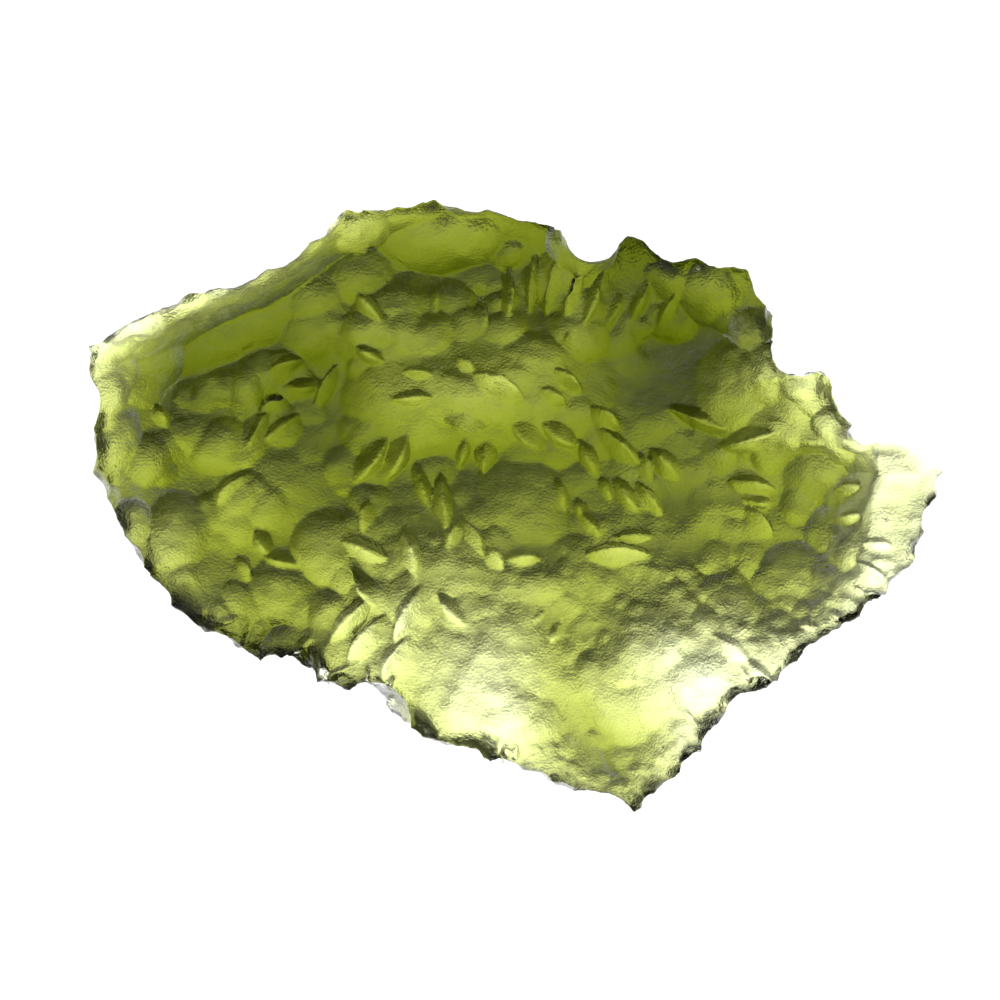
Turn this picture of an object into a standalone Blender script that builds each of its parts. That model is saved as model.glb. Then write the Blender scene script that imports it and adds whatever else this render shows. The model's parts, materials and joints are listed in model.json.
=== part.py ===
# A moldavite: one natural shard of green glass, lying flat as it rests.
# +X runs along its longest side, +Z up, origin on the ground under the middle of its box.
# The shard is worked in millimetres and brought to metres at the end.
import math
import random

import bpy
import bmesh
import numpy
from mathutils import Matrix, Vector
from mathutils.bvhtree import BVHTree

MM = 0.001
LENGTH = 34.0
WIDTH = 24.3
HEIGHT = 9.0
FOOT_CUT = 0.3
FULL_THICKNESS = 5.3
THIN_WINDOW = 1.2
BODY_GRAIN = 0.25
PIT_GRAIN = 0.17
TRIANGLES = 9400

# Middle of the cupped upper face, which the rows of pits point at.
MIDDLE = Vector((-0.4, 0.7))

# The edge of the shard from above, anticlockwise from the left end.
OUTLINE = [
    (-17.0, 6.4), (-16.7, 4.3), (-16.6, 1.5), (-15.9, -0.1), (-15.0, -1.9), (-13.8, -3.5),
    (-11.6, -5.2), (-9.7, -6.0), (-8.9, -5.7), (-8.5, -6.8), (-7.1, -7.3), (-5.6, -7.2),
    (-5.6, -7.9), (-3.5, -9.2), (-1.4, -9.9), (0.4, -10.5), (2.0, -11.2), (3.6, -11.5),
    (4.5, -12.1), (5.8, -11.2), (7.5, -9.5), (8.7, -7.6), (9.5, -7.2), (10.9, -6.4),
    (11.8, -5.4), (12.8, -5.1), (13.8, -4.1), (15.7, -2.3), (16.1, -0.5), (17.0, 1.6),
    (15.9, 2.5), (14.5, 2.6), (13.3, 2.75), (13.1, 3.9), (12.2, 5.4), (11.3, 5.6),
    (10.7, 5.7), (10.5, 6.2), (10.0, 7.3), (8.9, 9.2), (6.55, 9.6), (5.6, 9.4),
    (5.0, 10.2), (4.2, 10.4), (3.3, 9.6), (1.8, 10.7), (0.5, 11.1), (-3.1, 12.0),
    (-6.9, 11.7), (-8.0, 10.6), (-8.9, 9.7), (-10.2, 9.4), (-10.8, 9.0), (-11.9, 8.8),
    (-14.8, 7.7),
]
OUTLINE_STEP = 0.5
RINGS = 30

# How far the underside has risen at the rim, towards each side of the view from above.
RISE_LEFT, RISE_TOP, RISE_RIGHT, RISE_BOTTOM = 3.7, 3.0, 3.7, 2.2
RISE_POWER = 1.6

# Share of the full thickness that is reached at a distance in from the rim.
SHOULDER = [
    (0.0, 0.0), (0.5, 0.04), (1.2, 0.15), (2.0, 0.33), (3.0, 0.57), (4.2, 0.8), (6.0, 0.95), (9.0, 1.0),
]

# Height of the broken rim by direction in degrees, anticlockwise from +X.
RIM_WALL = [
    (0, 0.8), (8, 0.6), (14, 1.2), (25, 1.8), (35, 3.4), (50, 4.0), (80, 4.0), (100, 3.8), (115, 3.2),
    (126, 2.0), (134, 1.0), (150, 0.9), (160, 0.8), (170, 2.2), (182, 3.0), (200, 3.0), (215, 2.6),
    (235, 2.2), (255, 2.5), (270, 1.4), (290, 1.9), (305, 1.2), (320, 1.2), (332, 2.2), (345, 1.6),
    (360, 0.8),
]

# Broad hollows and swells: x, y, half length, half width, turn in degrees,
# rise of the upper face, rise of the underside.
FORMS = [
    (-2.8, -3.4, 4.6, 3.6, 0, -2.1, 0.1),
    (-1.4, -6.9, 2.8, 2.6, -10, -1.1, 0.3),
    (1.0, -8.0, 3.0, 2.0, 0, -0.5, 0.1),
    (4.6, -4.6, 5.8, 3.6, 10, -1.4, 0.1),
    (5.4, -6.7, 3.8, 2.6, 22, -1.7, 0.2),
    (5.6, 6.0, 3.0, 1.8, 0, 0.9, 0.0),
    (-6.6, 8.4, 2.4, 1.8, 20, 0.8, 0.0),
    (-14.6, 2.6, 2.0, 2.6, 0, 0.9, 0.0),
    (5.5, -1.2, 5.6, 3.4, 10, -0.9, 0.0),
    (-2.0, 4.4, 4.6, 2.4, 0, -1.6, 0.0),
    (-10.6, 1.0, 3.0, 2.2, 10, -0.7, 0.0),
    (11.0, 2.4, 2.2, 2.0, 0, -0.8, 0.0),
    (-7.6, 5.0, 2.6, 2.4, 0, 1.0, 0.0),
    (-11.8, 5.4, 3.6, 1.0, 36, 0.6, 0.0),
    (15.2, 0.8, 2.6, 3.0, 0, -1.8, 0.3),
    (12.4, 4.0, 1.2, 1.2, 0, 0.8, 0.0),
    (4.2, 9.2, 1.3, 1.5, 0, 0.9, 0.0),
    (-1.5, 9.2, 8.0, 1.6, 0, 0.9, 0.0),
    (7.0, 7.4, 3.0, 1.8, 0, 1.4, 0.0),
    (-2.5, 9.6, 3.5, 1.4, 5, 0.8, 0.0),
    (-8.6, 8.2, 4.4, 1.7, 24, 2.6, 0.0),
    (-13.4, 6.0, 2.8, 1.5, 33, 1.8, 0.0),
    (-1.6, 2.4, 2.6, 1.4, 0, 0.6, 0.0),
    (3.0, -8.4, 2.4, 1.4, 0, 0.6, 0.0),
    (6.6, -7.4, 2.6, 1.6, 20, 0.7, 0.0),
    (-9.3, -5.4, 2.4, 1.2, -10, 1.2, 0.0),
    (-2.4, -8.8, 3.0, 0.9, -20, 1.0, 0.0),
    (12.0, 2.2, 1.6, 2.2, 0, 1.9, 0.0),
    (14.6, -2.6, 2.2, 1.4, 35, -0.4, 0.0),
    (-6.0, -1.4, 6.0, 2.4, -20, -0.6, 0.0),
]

# Round hollows eaten into the upper face, which meet in crests: x, y, half length, half width,
# turn in degrees, depth as a share of the half width.
HOLLOWS = [
    (-7.7, -1.5, 1.45, 1.3, -35, 0.5), (-9.3, -3.4, 1.1, 1.0, 0, 0.35), (-10.9, -3.3, 0.6, 0.6, 0, 0.4),
    (-7.5, -3.6, 0.6, 0.6, 0, 0.35), (-8.0, 2.5, 1.0, 0.7, 70, 0.35), (-11.0, 0.5, 1.0, 0.8, 40, 0.55),
    (-11.7, 2.3, 1.1, 0.9, 30, 0.5), (-13.1, -0.6, 1.3, 1.1, 60, 0.4), (-14.9, -0.3, 0.9, 0.8, 60, 0.45),
    (-14.2, 1.8, 1.0, 0.8, 50, 0.45), (-15.6, 2.6, 1.4, 1.0, 60, 0.35), (-15.7, 4.4, 1.1, 0.9, 70, 0.35),
    (-12.0, 4.4, 0.9, 0.6, 60, 0.55), (-10.4, 4.6, 0.9, 0.6, 75, 0.55), (-10.2, 2.7, 1.1, 0.6, 65, 0.6),
    (-9.0, 2.9, 0.8, 0.6, 30, 0.55), (-8.3, 4.6, 0.9, 0.5, 10, 0.55), (-9.0, 5.5, 0.8, 0.6, 20, 0.5),
    (-7.9, 6.6, 1.2, 0.9, 20, 0.4), (-5.4, 4.3, 1.7, 1.5, 0, 0.3), (-2.9, 10.2, 2.3, 1.5, 5, 0.5),
    (-6.2, 8.9, 1.3, 1.1, 20, 0.5), (-7.6, 8.0, 1.2, 1.0, 30, 0.45), (-5.9, 6.8, 1.0, 0.8, 10, 0.4),
    (-3.2, 6.8, 1.0, 0.9, 60, 0.45), (2.3, 6.6, 0.9, 0.85, 0, 0.35), (0.6, 6.2, 1.2, 0.9, 0, 0.3),
    (4.8, 6.9, 0.5, 0.4, 20, 0.6), (7.9, 5.0, 1.7, 1.4, 60, 0.35), (7.4, 8.1, 1.2, 1.1, 0, 0.4),
    (10.4, -2.4, 1.4, 1.2, 20, 0.35), (7.6, 0.1, 1.1, 0.9, 70, 0.3), (8.8, -3.6, 1.0, 0.8, -40, 0.35),
    (11.1, 4.7, 0.7, 0.6, 0, 0.5), (12.2, 3.5, 0.7, 0.6, 60, 0.5), (5.2, 3.6, 1.3, 1.0, 0, 0.25),
    (0.6, 0.2, 1.9, 1.7, 90, 0.3), (-1.0, -6.4, 2.0, 1.5, 70, 0.2), (7.0, -6.9, 2.0, 1.2, 20, 0.25),
    (4.0, -8.2, 1.6, 1.0, -50, 0.3), (11.6, 1.2, 1.3, 0.9, 20, 0.3), (12.9, -1.6, 1.0, 0.8, 30, 0.4),
    (-10.6, 6.6, 2.6, 1.0, 30, 0.3), (-13.8, 5.2, 1.8, 1.0, 35, 0.3),
]

# Fields of smaller hollows: how many, the field's x and y range, half width range, depth share.
FIELDS = [
    (110, (-17.0, -5.5), (-6.0, 8.0), (0.35, 0.9), 0.5), (80, (-10.0, 10.0), (6.4, 12.0), (0.4, 0.9), 0.55),
    (80, (7.5, 13.8), (-5.0, 7.0), (0.35, 0.8), 0.5), (130, (1.0, 13.0), (-11.0, -2.0), (0.2, 0.55), 0.35),
    (80, (-6.0, 3.0), (-9.5, -1.0), (0.3, 0.8), 0.3), (60, (-6.0, 9.0), (-1.0, 6.8), (0.3, 0.9), 0.3),
]
FIELD_SEED = 5
UNDER_HOLLOWS = 110
SMALLEST_HOLLOW = 0.4
DEEPEST_SHARE = 0.36

# Pointed pits in the upper face: x, y, length, width, turn in degrees.
PITS = [
    (-0.7, 4.8, 2.2, 0.9, -28), (-2.0, 5.6, 1.1, 0.5, -38), (1.4, 4.4, 1.2, 0.6, -35),
    (2.0, 5.0, 1.4, 0.6, -39), (-2.0, 3.4, 1.6, 0.8, -10), (0.5, 2.9, 1.6, 0.8, -34),
    (1.7, 2.9, 1.7, 0.8, -34), (3.4, 3.5, 1.3, 0.8, -38), (4.0, 2.4, 2.3, 0.8, -41),
    (5.0, 1.6, 1.3, 0.6, -70), (5.8, 1.7, 1.6, 0.9, -45), (2.8, 2.0, 1.7, 0.7, -62),
    (3.5, 0.8, 1.0, 0.5, -65), (1.7, 0.5, 1.8, 0.6, -74), (2.5, 0.0, 1.0, 0.5, -70),
    (2.9, -0.6, 1.2, 0.5, -50), (4.3, 0.6, 1.5, 0.7, -54), (5.2, 0.4, 1.6, 0.6, -52),
    (4.6, -1.1, 1.5, 0.5, 3), (4.0, -1.8, 2.5, 0.9, 0), (0.3, -2.0, 1.5, 0.5, 3),
    (-0.9, -2.0, 1.1, 0.7, -55), (-1.8, -1.1, 1.8, 0.6, -53), (-2.5, -1.1, 1.3, 0.6, 62),
    (-2.9, 0.3, 2.5, 0.7, -85), (-3.7, 0.9, 2.1, 0.6, -75), (-4.2, -1.7, 2.1, 0.8, -78),
    (-1.2, 2.1, 1.3, 0.8, 85), (-2.1, 2.2, 1.4, 0.5, 75), (-4.7, 2.1, 2.2, 0.9, 65),
    (-5.7, 1.9, 2.2, 0.9, 53), (-5.9, -0.3, 1.3, 0.6, 78), (-6.0, -1.6, 2.1, 0.8, -22),
    (-6.0, -3.0, 1.8, 0.7, -63), (-6.5, -4.3, 2.5, 0.9, 48), (-5.9, -5.2, 2.5, 0.9, 54),
    (-4.3, -4.2, 2.5, 0.9, 64), (-4.8, -5.9, 2.1, 0.9, 58), (-2.6, -4.0, 1.7, 0.6, -50),
    (0.8, -4.3, 1.0, 0.4, 45), (1.5, -4.9, 1.0, 0.6, 60), (-9.1, -2.0, 1.5, 0.6, -15),
    (-10.6, -2.3, 1.0, 0.5, -65), (-9.9, -1.2, 1.2, 0.7, -60), (-7.3, 4.7, 2.0, 0.6, 60),
    (-10.1, 2.9, 2.0, 0.7, 60), (-9.2, 3.1, 1.9, 0.6, 35), (-9.4, 3.9, 1.2, 0.6, 20),
    (-8.3, 4.7, 1.4, 0.7, 0), (-8.9, 5.5, 1.4, 0.7, 15), (-11.0, 0.7, 1.9, 0.8, 50),
    (-13.7, 3.6, 1.0, 0.6, -60), (-4.2, 4.3, 1.9, 0.7, 6), (-5.7, 7.7, 1.7, 0.8, -45),
    (-5.7, 6.0, 1.4, 0.7, -30), (-3.9, 5.3, 1.2, 0.5, 0), (7.0, 3.5, 2.8, 0.7, -20),
    (9.1, 2.7, 2.3, 0.9, 15), (9.2, 0.9, 1.9, 0.7, -12), (9.4, 0.3, 1.3, 0.5, -10),
    (9.4, -0.5, 1.5, 0.7, -50), (12.9, 0.8, 1.5, 0.5, 12), (13.0, -0.3, 1.6, 0.5, 10),
    (14.0, -2.4, 1.4, 0.4, -30), (8.5, -5.5, 1.8, 0.7, -35), (9.6, -6.4, 1.4, 0.6, -40),
    (1.9, 6.5, 0.7, 0.5, 80), (-1.4, 7.4, 1.6, 0.5, 92), (-0.3, 8.3, 2.6, 0.5, 88),
    (0.6, 8.6, 2.4, 0.5, 84), (1.4, 8.4, 2.6, 0.5, 80), (2.2, 8.2, 2.4, 0.5, 74),
    (2.9, 8.0, 2.6, 0.5, 70), (3.7, 7.6, 1.6, 0.4, 66), (4.7, 7.9, 2.0, 0.5, 66),
    (-3.2, 8.0, 1.5, 0.5, 86), (5.8, 7.6, 1.8, 0.5, 60), (14.2, -1.4, 1.2, 0.5, -5),
]
PIT_DEPTH = 1.2
PIT_GROWTH = 1.15
DEEPEST_PIT = 0.45


def forms_at(place):
    """How far the broad forms raise the upper face and the underside at a place."""
    above = below = 0.0
    for x, y, half_length, half_width, turn, top, under in FORMS:
        angle = math.radians(turn)
        off = place - Vector((x, y))
        along = (off.x * math.cos(angle) + off.y * math.sin(angle)) / half_length
        aside = (off.y * math.cos(angle) - off.x * math.sin(angle)) / half_width
        strength = max(0.0, 1.0 - (along * along + aside * aside) / 2.25) ** 2
        above += strength * top
        below += strength * under
    return above, below


def along_points(points, value):
    """Read a value along a list of (position, value) points."""
    for (start, low), (end, high) in zip(points, points[1:]):
        if value <= end:
            return low + (high - low) * (value - start) / (end - start)
    return points[-1][1]


def section_at(toward, depth):
    """Thickness at a distance in from the rim, in a direction from the middle."""
    wall = along_points(RIM_WALL, math.degrees(math.atan2(toward.y, toward.x)) % 360.0)
    return wall + (FULL_THICKNESS - wall) * along_points(SHOULDER, depth)


def rim_rise(toward):
    """Height of the underside at the rim in a direction, blended between the four sides."""
    return (RISE_LEFT * max(0.0, -toward.x) ** 2 + RISE_RIGHT * max(0.0, toward.x) ** 2
            + RISE_BOTTOM * max(0.0, -toward.y) ** 2 + RISE_TOP * max(0.0, toward.y) ** 2)


def edge_points():
    """The edge with a point about every OUTLINE_STEP."""
    points = []
    for index, corner in enumerate(OUTLINE):
        start, end = Vector(corner), Vector(OUTLINE[(index + 1) % len(OUTLINE)])
        steps = max(1, round((end - start).length / OUTLINE_STEP))
        points += [start.lerp(end, step / steps) for step in range(steps)]
    return points


def loft_body():
    """Rings of the outline drawn in towards the middle, one set for each face of the shard."""
    edge = edge_points()
    body = bmesh.new()
    rows = []
    shares = [math.sin(0.5 * math.pi * (ring + 1) / RINGS) for ring in range(RINGS)]
    for share in shares:
        upper, lower = [], []
        for point in edge:
            place = MIDDLE + (point - MIDDLE) * share
            above, below = forms_at(place)
            toward = (point - MIDDLE).normalized()
            floor = rim_rise(toward) * share ** RISE_POWER + below
            section = section_at(toward, (point - place).length)
            thickness = max(min(THIN_WINDOW, section), section + above - below)
            upper.append(body.verts.new((place.x, place.y, floor + thickness)))
            lower.append(body.verts.new((place.x, place.y, floor)))
        rows.insert(0, upper)
        rows.append(lower)
    rows = rows[RINGS - 1::-1] + rows[:RINGS - 1:-1]
    for inner, outer in zip(rows, rows[1:]):
        for index in range(len(edge)):
            following = (index + 1) % len(edge)
            body.faces.new((inner[index], outer[index], outer[following], inner[following]))
    body.faces.new(rows[0])
    body.faces.new(rows[-1])
    bmesh.ops.recalc_face_normals(body, faces=body.faces)
    mesh = bpy.data.meshes.new("moldavite")
    body.to_mesh(mesh)
    body.free()
    stone = bpy.data.objects.new("moldavite", mesh)
    bpy.context.collection.objects.link(stone)
    return stone


def settle(stone):
    """Make the result of the stone's modifiers its own mesh."""
    graph = bpy.context.evaluated_depsgraph_get()
    stone.data = bpy.data.meshes.new_from_object(stone.evaluated_get(graph))
    stone.modifiers.clear()


def remesh(stone, size):
    modifier = stone.modifiers.new("grain", 'REMESH')
    modifier.mode = 'VOXEL'
    modifier.voxel_size = size
    settle(stone)


def hollows_of_the_skin():
    """All round hollows of the upper face and of the underside: the named ones and the fields."""
    draw = random.Random(FIELD_SEED)
    upper, under = list(HOLLOWS), []
    for count, x_range, y_range, width_range, share in FIELDS:
        for number in range(count):
            width = draw.uniform(*width_range)
            upper.append((draw.uniform(*x_range), draw.uniform(*y_range), width * draw.uniform(1.0, 1.5),
                          width, draw.uniform(0.0, 180.0), share))
    for number in range(UNDER_HOLLOWS):
        width = draw.uniform(0.6, 1.8)
        under.append((draw.uniform(-17.0, 17.0), draw.uniform(-12.0, 12.0), width * 1.3, width,
                      draw.uniform(0.0, 180.0), 0.14))
    return upper, under


def press_hollows(stone):
    """Press each round hollow into the skin. Where two meet the deeper one wins, which leaves a crest."""
    skin = BVHTree.FromObject(stone, bpy.context.evaluated_depsgraph_get())
    places = numpy.array([vertex.co for vertex in stone.data.vertices])
    normals = numpy.array([vertex.normal for vertex in stone.data.vertices])
    depths = numpy.zeros(len(places))
    for hollows, down in zip(hollows_of_the_skin(), (-1.0, 1.0)):
        faces_it = normals[:, 2] * down < 0.0
        for x, y, half_length, half_width, turn, share in hollows:
            hit, normal = skin.ray_cast(Vector((x, y, -40.0 * down)), Vector((0.0, 0.0, down)))[:2]
            if hit is None or half_width < SMALLEST_HOLLOW:
                continue
            glass = skin.ray_cast(hit - normal * 0.01, -normal)[3] or 0.0
            deepest = min(share * half_width, DEEPEST_SHARE * glass)
            cosine, sine = math.cos(math.radians(turn)), math.sin(math.radians(turn))
            off = places[:, :2] - (x, y)
            along = (off[:, 0] * cosine + off[:, 1] * sine) / half_length
            aside = (off[:, 1] * cosine - off[:, 0] * sine) / half_width
            bowl = deepest * (1.0 - along * along - aside * aside) * faces_it
            depths = numpy.maximum(depths, bowl)
    for vertex, place, normal, depth in zip(stone.data.vertices, places, normals, depths):
        vertex.co = place - normal * depth


def pit_cutter(length, width, depth):
    """A canoe: pointed at both ends, with a keel along its middle, lying along X."""
    cutter = bmesh.new()
    stations = 8
    rows = []
    for station in range(1, stations):
        along = -1.0 + 2.0 * station / stations
        swell = 1.0 - along * along
        x, y, z = along * length / 2, swell * width / 2, swell * depth
        rows.append([cutter.verts.new(corner) for corner in ((x, y, 0), (x, 0, z), (x, -y, 0), (x, 0, -z))])
    bow = cutter.verts.new((-length / 2, 0, 0))
    stern = cutter.verts.new((length / 2, 0, 0))
    for side in range(4):
        other = (side + 1) % 4
        cutter.faces.new((bow, rows[0][side], rows[0][other]))
        cutter.faces.new((stern, rows[-1][other], rows[-1][side]))
        for here, ahead in zip(rows, rows[1:]):
            cutter.faces.new((here[side], ahead[side], ahead[other], here[other]))
    bmesh.ops.recalc_face_normals(cutter, faces=cutter.faces)
    mesh = bpy.data.meshes.new("pit_cutter")
    cutter.to_mesh(mesh)
    cutter.free()
    return mesh


def lay_cutter(skin, group, pit):
    """Lay a canoe on the upper face, seated on the glass under its two ends and its two sides."""
    x, y, length, width, turn = pit
    angle = math.radians(turn)
    along = Vector((math.cos(angle), math.sin(angle), 0.0))
    aside = Vector((-math.sin(angle), math.cos(angle), 0.0))
    spots = (along * length, along * -length, aside * width, aside * -width)
    start, down = Vector((x, y, 40.0)), Vector((0.0, 0.0, -1.0))
    feet = [skin.ray_cast(start + 0.4 * spot, down)[0] for spot in spots]
    if None in feet:
        return
    along = (feet[0] - feet[1]).normalized()
    normal = along.cross(feet[2] - feet[3]).normalized()
    glass = skin.ray_cast(skin.ray_cast(start, down)[0] - normal * 0.01, -normal)[3] or 0.0
    depth = min(width * PIT_DEPTH, DEEPEST_PIT * glass)
    cutter = bpy.data.objects.new("pit_cutter", pit_cutter(length * PIT_GROWTH, width * PIT_GROWTH, depth))
    turned = Matrix((along, normal.cross(along), normal)).transposed().to_4x4()
    cutter.matrix_world = Matrix.Translation(sum(feet, Vector()) / 4.0) @ turned
    cutter.hide_render = True
    cutter.display_type = 'WIRE'
    group.objects.link(cutter)


def cut_pits(stone):
    """Cut the pits of the upper face."""
    skin = BVHTree.FromObject(stone, bpy.context.evaluated_depsgraph_get())
    group = bpy.data.collections.new("pit_cutters")
    bpy.context.scene.collection.children.link(group)
    for pit in PITS:
        lay_cutter(skin, group, pit)
    modifier = stone.modifiers.new("pits", 'BOOLEAN')
    modifier.operation = 'DIFFERENCE'
    modifier.operand_type = 'COLLECTION'
    modifier.collection = group
    modifier.solver = 'EXACT'
    settle(stone)
    for cutter in list(group.objects):
        bpy.data.objects.remove(cutter)


def drop_crumbs(stone):
    """Keep the largest connected piece: the cuts can leave a loose crumb or a closed bubble."""
    body = bmesh.new()
    body.from_mesh(stone.data)
    unseen = set(body.verts)
    pieces = []
    for vertex in body.verts:
        if vertex not in unseen:
            continue
        unseen.remove(vertex)
        piece = [vertex]
        for reached in piece:
            for edge in reached.link_edges:
                other = edge.other_vert(reached)
                if other in unseen:
                    unseen.remove(other)
                    piece.append(other)
        pieces.append(piece)
    pieces.sort(key=len)
    for piece in pieces[:-1]:
        bmesh.ops.delete(body, geom=piece, context='VERTS')
    body.to_mesh(stone.data)
    body.free()


def thin_out(stone):
    """Bring the mesh under its budget of triangles, keeping its edges and keels."""
    modifier = stone.modifiers.new("budget", 'DECIMATE')
    modifier.ratio = TRIANGLES / sum(len(face.vertices) - 2 for face in stone.data.polygons)
    modifier.use_collapse_triangulate = True
    settle(stone)


def stand_on_foot(stone):
    """Cut the small flat spot the shard rests on, centre its box over the origin and set its sizes."""
    lowest = min(vertex.co.z for vertex in stone.data.vertices) + FOOT_CUT
    body = bmesh.new()
    body.from_mesh(stone.data)
    geometry = body.verts[:] + body.edges[:] + body.faces[:]
    cut = bmesh.ops.bisect_plane(body, geom=geometry, plane_co=(0, 0, lowest), plane_no=(0, 0, 1),
                                 clear_inner=True)
    rim = [part for part in cut["geom_cut"] if isinstance(part, bmesh.types.BMEdge)]
    bmesh.ops.holes_fill(body, edges=rim, sides=0)
    bmesh.ops.recalc_face_normals(body, faces=body.faces)
    low = Vector([min(vertex.co[axis] for vertex in body.verts) for axis in range(3)])
    high = Vector([max(vertex.co[axis] for vertex in body.verts) for axis in range(3)])
    size = high - low
    centre = Vector(((low.x + high.x) / 2, (low.y + high.y) / 2, low.z))
    for vertex in body.verts:
        place = vertex.co - centre
        vertex.co = Vector((place.x * LENGTH / size.x, place.y * WIDTH / size.y,
                            place.z * HEIGHT / size.z)) * MM
    body.to_mesh(stone.data)
    body.free()


def green_glass():
    """Clear bottle-green natural glass with a bright, slightly etched skin."""
    glass = bpy.data.materials.new("moldavite_glass")
    glass.use_nodes = True
    shader = glass.node_tree.nodes["Principled BSDF"]
    shader.inputs["Base Color"].default_value = (0.25, 0.29, 0.05, 1.0)
    shader.inputs["Roughness"].default_value = 0.08
    shader.inputs["Metallic"].default_value = 0.0
    shader.inputs["IOR"].default_value = 1.49
    shader.inputs["Transmission Weight"].default_value = 0.85
    return glass


for thing in list(bpy.data.objects):
    bpy.data.objects.remove(thing)
stone = loft_body()
remesh(stone, BODY_GRAIN)
press_hollows(stone)
cut_pits(stone)
remesh(stone, PIT_GRAIN)
drop_crumbs(stone)
thin_out(stone)
stand_on_foot(stone)
stone.data.materials.clear()
stone.data.materials.append(green_glass())
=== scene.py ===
import json
import math
import random

import bmesh
import bpy
from mathutils import Matrix, Vector
from mathutils.bvhtree import BVHTree

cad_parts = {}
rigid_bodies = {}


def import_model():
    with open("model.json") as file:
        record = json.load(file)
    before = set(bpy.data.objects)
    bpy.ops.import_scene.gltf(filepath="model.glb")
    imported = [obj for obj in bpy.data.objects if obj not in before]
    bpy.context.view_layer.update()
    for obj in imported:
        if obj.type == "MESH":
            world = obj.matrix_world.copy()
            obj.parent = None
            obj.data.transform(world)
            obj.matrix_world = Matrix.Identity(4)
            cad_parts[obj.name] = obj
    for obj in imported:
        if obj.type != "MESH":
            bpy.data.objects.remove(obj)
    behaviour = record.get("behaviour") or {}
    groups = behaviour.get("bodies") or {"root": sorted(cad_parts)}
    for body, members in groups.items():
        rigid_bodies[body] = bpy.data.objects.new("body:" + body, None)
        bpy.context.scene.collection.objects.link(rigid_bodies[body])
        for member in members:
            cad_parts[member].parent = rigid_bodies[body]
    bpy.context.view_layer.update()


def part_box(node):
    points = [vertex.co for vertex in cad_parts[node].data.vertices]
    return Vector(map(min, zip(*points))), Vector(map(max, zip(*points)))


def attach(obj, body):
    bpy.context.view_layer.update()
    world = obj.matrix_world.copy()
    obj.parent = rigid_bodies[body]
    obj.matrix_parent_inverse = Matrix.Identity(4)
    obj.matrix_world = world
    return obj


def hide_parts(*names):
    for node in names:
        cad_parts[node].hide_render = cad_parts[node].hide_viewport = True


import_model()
bpy.ops.object.select_all(action='DESELECT')

# The body of the stone
# One shard of natural glass, splashed out molten and chilled, then bitten into by the ground it lay in.
# It is cupped above and rounded below, thick and dark over most of its width, with thin windows near
# the lower edge and thin sharp fringes. It is shaped in millimetres and brought to metres at the end.
MIDDLE = Vector((-0.4, 0.7))
# The edge seen from above, as x and y, anticlockwise from its left tip.
OUTLINE = [
    (-17.0, 6.4), (-16.7, 4.3), (-16.6, 1.5), (-15.9, -0.1), (-15.0, -1.9), (-13.8, -3.5),
    (-11.6, -5.2), (-9.7, -6.0), (-8.9, -5.7), (-8.5, -6.8), (-7.1, -7.3), (-5.6, -7.2),
    (-5.6, -7.9), (-3.5, -9.2), (-1.4, -9.9), (0.4, -10.5), (2.0, -11.2), (3.6, -11.5),
    (4.5, -12.1), (5.8, -11.2), (7.5, -9.5), (8.7, -7.6), (9.5, -7.2), (10.9, -6.4),
    (11.8, -5.4), (12.8, -5.1), (13.8, -4.1), (15.7, -2.3), (16.1, -0.5), (17.0, 1.6),
    (15.9, 2.5), (14.5, 2.6), (13.3, 2.75), (13.1, 3.9), (12.2, 5.4), (11.3, 5.6),
    (10.7, 5.7), (10.5, 6.2), (10.0, 7.3), (8.9, 9.2), (6.55, 9.6), (5.6, 9.4),
    (5.0, 10.2), (4.2, 10.4), (3.3, 9.6), (1.8, 10.7), (0.5, 11.1), (-3.1, 12.0),
    (-6.9, 11.7), (-8.0, 10.6), (-8.9, 9.7), (-10.2, 9.4), (-10.8, 9.0), (-11.9, 8.8),
    (-14.8, 7.7),
]
OUTLINE_STEP = 0.4
# The edge is crumbled past these lines at the bottom and at the right, and only worn elsewhere.
LOWER_EDGE, RIGHT_END = -6.0, 9.0
CHIPPING, WORN_CHIPPING = 0.2, 0.07
chip = random.Random(3)
# How far the underside curves up to the rim on each side.
RISE_LEFT, RISE_TOP, RISE_RIGHT, RISE_BOTTOM = 3.7, 3.0, 3.7, 2.2
RISE_POWER = 1.6
FULL_THICKNESS = 5.3
# Share of the full thickness that is reached at a distance in from the rim.
SHOULDER = [
    (0.0, 0.0), (0.5, 0.04), (1.2, 0.15), (2.0, 0.33), (3.0, 0.57), (4.2, 0.8), (6.0, 0.95), (9.0, 1.0),
]
# Height of the broken rim by direction in degrees, anticlockwise from +X.
RIM_WALL = [
    (0, 0.8), (8, 0.6), (14, 1.2), (25, 1.8), (35, 3.4), (50, 4.0), (80, 4.0), (100, 3.8), (115, 3.2),
    (126, 2.0), (134, 1.0), (150, 0.9), (160, 0.8), (170, 2.0), (182, 2.5), (200, 2.6), (215, 2.4),
    (235, 2.2), (255, 2.5), (270, 1.4), (290, 1.9), (305, 1.1), (320, 1.0), (332, 1.2), (345, 0.9),
    (360, 0.8),
]
# The least thickness that a dip may leave.
THIN_WINDOW = 1.2
RINGS = 36
# Swells and dips of the faces. Each fades out at this many times its half length and half width.
FORM_REACH = 1.5
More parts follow.
